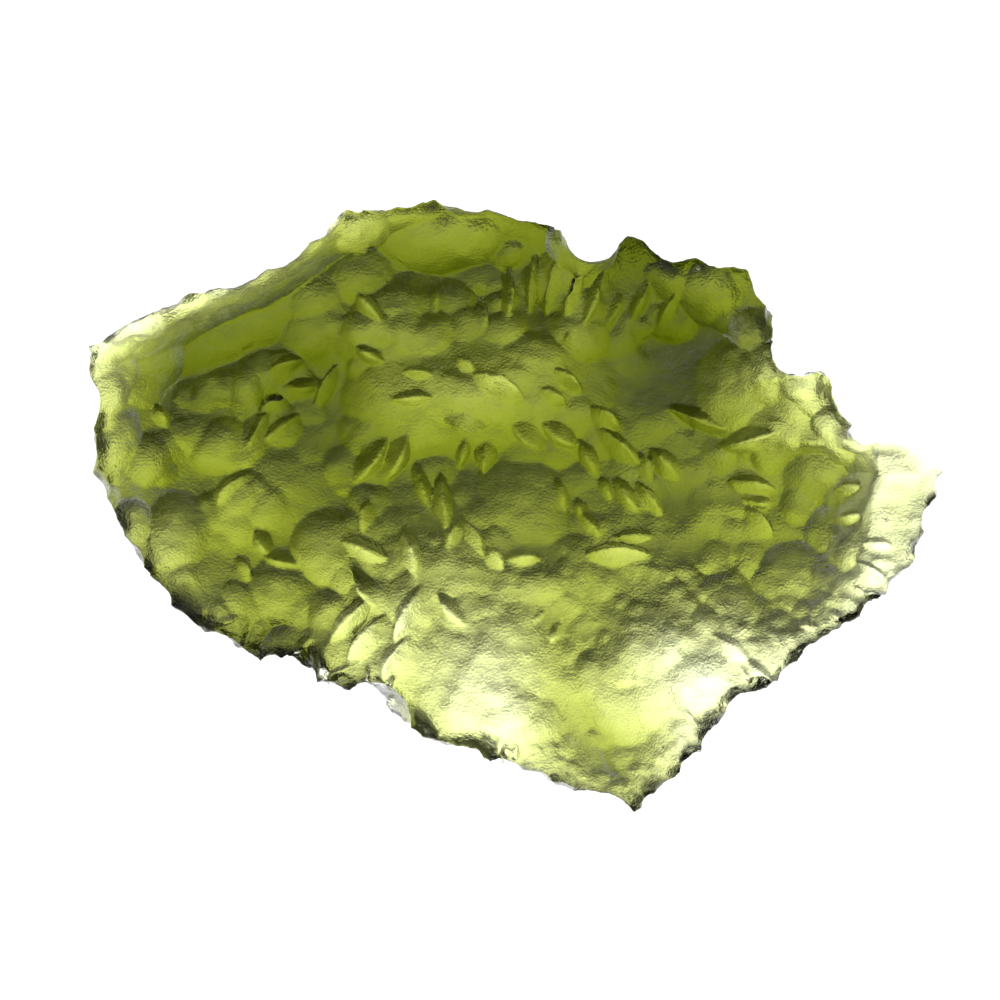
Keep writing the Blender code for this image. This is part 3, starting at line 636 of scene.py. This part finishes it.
coarse = grain(*COARSE_GRAIN)
fine = grain(*FINE_GRAIN, coarse)
links.new(fine.outputs["Normal"], shader.inputs["Normal"])
absorption = nodes.new("ShaderNodeVolumeAbsorption")
absorption.inputs["Color"].default_value = (*(1.0 - part for part in ABSORBED), 1.0)
absorption.inputs["Density"].default_value = MILLIMETRES_IN_METRE
links.new(absorption.outputs["Volume"], nodes["Material Output"].inputs["Volume"])
stone.data.materials.clear()
stone.data.materials.append(glass)
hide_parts("moldavite")
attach(stone, "root")

# The pale floor and the light
# The stone lies on a pale sheet that glows softly, and light comes through it from below. The light
# is brightest from the side of the lower edge, and dim from the side of the upper edge and from
# above, so that each pit has a bright and a dark side. Light in the stone passes by the sheet.
PAPER_GREY = (0.8, 0.8, 0.8, 1.0)
PAPER_GLOW = 1.1
LIGHT_STRENGTH = 2.28
# The light's level by how far a direction leans along an axis, from -1 to 1.
ACROSS = (-0.15, 0.989, 0.0)
LIGHT_ACROSS = [
    (-1.0, 1.5), (-0.5, 1.6), (-0.3, 1.35), (-0.12, 1.08), (0.0, 0.85), (0.12, 0.6), (0.25, 0.34),
    (0.4, 0.14), (0.7, 0.03),
]
UPWARD = (0.0, 0.0, 1.0)
LIGHT_UPWARD = [(-1.0, 0.9), (-0.35, 0.9), (-0.12, 0.4), (0.0, 0.12), (0.2, 0.08), (1.0, 0.15)]
bpy.ops.mesh.primitive_plane_add(size=4.0, location=(0, 0, 0))
floor = bpy.context.object
floor.name = "floor"
paper = bpy.data.materials.new("white_paper")
paper.use_nodes = True
paper_shader = paper.node_tree.nodes["Principled BSDF"]
paper_shader.inputs["Base Color"].default_value = PAPER_GREY
paper_shader.inputs["Emission Color"].default_value = (1.0, 1.0, 1.0, 1.0)
paper_shader.inputs["Emission Strength"].default_value = PAPER_GLOW
floor.data.materials.append(paper)
floor.visible_transmission = False
floor.visible_glossy = False

sky = bpy.data.worlds.new("studio")
bpy.context.scene.world = sky
sky.use_nodes = True
nodes, links = sky.node_tree.nodes, sky.node_tree.links
direction = nodes.new("ShaderNodeTexCoord")


def light_ramp(axis, stops):
    """Grey level of the light by how far a direction leans along an axis."""
    lean = nodes.new("ShaderNodeVectorMath")
    lean.operation = 'DOT_PRODUCT'
    lean.inputs[1].default_value = axis
    links.new(direction.outputs["Generated"], lean.inputs[0])
    span = nodes.new("ShaderNodeMapRange")
    span.inputs["From Min"].default_value = -1.0
    links.new(lean.outputs["Value"], span.inputs["Value"])
    ramp = nodes.new("ShaderNodeValToRGB")
    links.new(span.outputs["Result"], ramp.inputs["Fac"])
    first, *between, last = stops
    for stop, (position, level) in zip(ramp.color_ramp.elements, (first, last)):
        stop.position = (position + 1.0) / 2.0
        stop.color = (level, level, level, 1.0)
    for position, level in between:
        stop = ramp.color_ramp.elements.new((position + 1.0) / 2.0)
        stop.color = (level, level, level, 1.0)
    return ramp


across = light_ramp(ACROSS, LIGHT_ACROSS)
upward = light_ramp(UPWARD, LIGHT_UPWARD)
both = nodes.new("ShaderNodeVectorMath")
both.operation = 'MULTIPLY'
links.new(across.outputs["Color"], both.inputs[0])
links.new(upward.outputs["Color"], both.inputs[1])
links.new(both.outputs["Vector"], nodes["Background"].inputs["Color"])
nodes["Background"].inputs["Strength"].default_value = LIGHT_STRENGTH

# The camera
# It looks straight down on the stone through a long lens. At the height where the view is measured,
# about the level of the rim, it takes in a square a little wider than the stone.
VIEW_MIDDLE = (-0.00057, 0.0003)
VIEW_WIDTH = 0.0396
VIEW_LEVEL = 0.005
BOUNCES, GLOSSY_BOUNCES = 24, 12
camera = bpy.data.cameras.new("camera")
camera.lens = 100.0
camera.sensor_width = 36.0
camera.clip_start = 0.001
viewer = bpy.data.objects.new("camera", camera)
viewer.location = (*VIEW_MIDDLE, VIEW_WIDTH * camera.lens / camera.sensor_width + VIEW_LEVEL)
bpy.context.collection.objects.link(viewer)
scene = bpy.context.scene
scene.camera = viewer
scene.view_settings.view_transform = 'Standard'
scene.cycles.max_bounces = BOUNCES
scene.cycles.transmission_bounces = BOUNCES
scene.cycles.glossy_bounces = GLOSSY_BOUNCES
